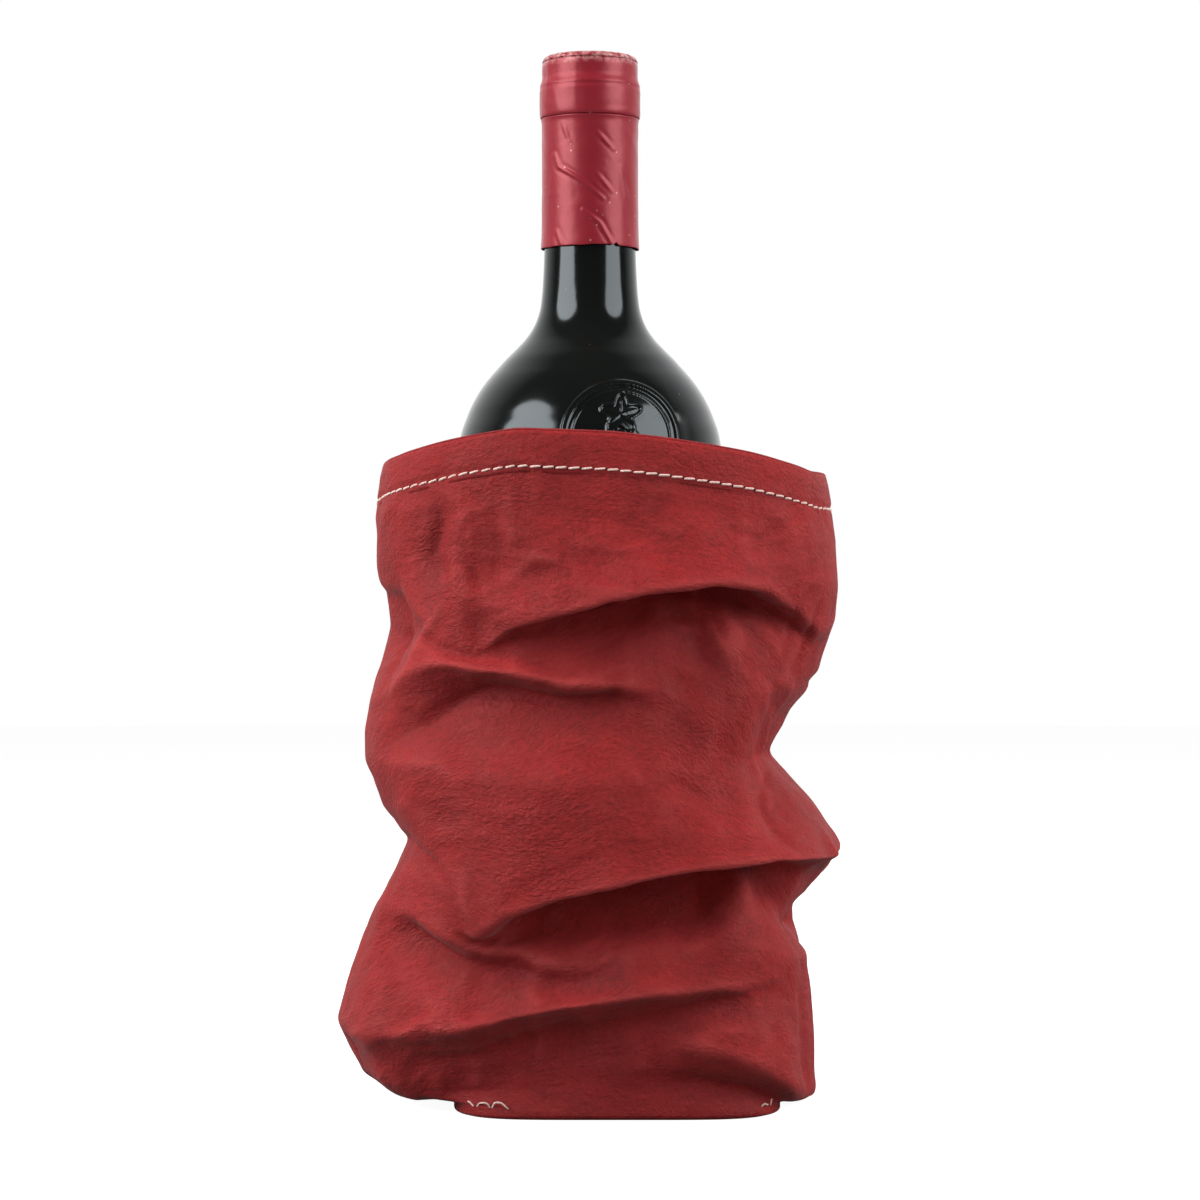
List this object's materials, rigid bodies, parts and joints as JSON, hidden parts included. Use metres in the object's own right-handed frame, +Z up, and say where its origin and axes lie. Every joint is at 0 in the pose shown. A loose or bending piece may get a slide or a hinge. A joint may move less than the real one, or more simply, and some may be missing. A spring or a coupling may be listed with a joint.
{
  "type": "wine gift bag",
  "caption": "Crumpled washable-paper gift bag with a stitched hem, pushed down round a corked wine bottle that lifts out.",
  "frame": {"origin": "on the table under the bottle's axis, which is the middle of the bag's outline", "axes": "+Z up, the front of the bag faces -Y, +X to the right of someone facing the front"},
  "size_m": [0.15, 0.12, 0.3114],
  "materials": {
    "washable_paper": "dyed right through, soft and leathery with fine creases, dull satin",
    "thread": "twisted sewing thread, cream",
    "dark_glass": "almost black bottle glass, glossy",
    "wine": "clear dark red liquid",
    "capsule_foil": "thin tin foil lacquered wine red, softly glossy and crinkled",
    "cork": "natural cork, dull and speckled"
  },
  "bodies": {
    "bag": {"base_panel": "washable_paper", "front_panel_lower": "washable_paper", "back_panel_lower": "washable_paper", "left_seam_stitches": "thread", "right_seam_stitches": "thread", "base_seam_stitches": "thread"},
    "collar": {"front_panel_collar": "washable_paper", "back_panel_collar": "washable_paper", "hem_fold": "washable_paper", "hem_stitches": "thread"},
    "bottle": {"bottle_glass": "dark_glass", "wine": "wine", "capsule_skirt": "capsule_foil"},
    "cork": {"cork": "cork"},
    "capsule_top": {"capsule_crown": "capsule_foil", "capsule_disc": "capsule_foil"}
  },
  "joints": [
    {"name": "collar_slide", "type": "slide", "parent": "bag", "child": "collar", "axis": [0, 0, 1], "range_m": [0, 0.06]},
    {"name": "bottle_lift", "type": "slide", "parent": "bag", "child": "bottle", "axis": [0, 0, 1], "range_m": [0, 0.21]},
    {"name": "cork_pull", "type": "slide", "parent": "bottle", "child": "cork", "axis": [0, 0, 1], "range_m": [0, 0.055]},
    {"name": "capsule_lift", "type": "slide", "parent": "bottle", "child": "capsule_top", "axis": [0, 0, 1], "range_m": [0, 0.11]}
  ],
  "couplings": [
    {"joint": "capsule_lift", "follows": "cork_pull", "ratio": 2}
  ]
}
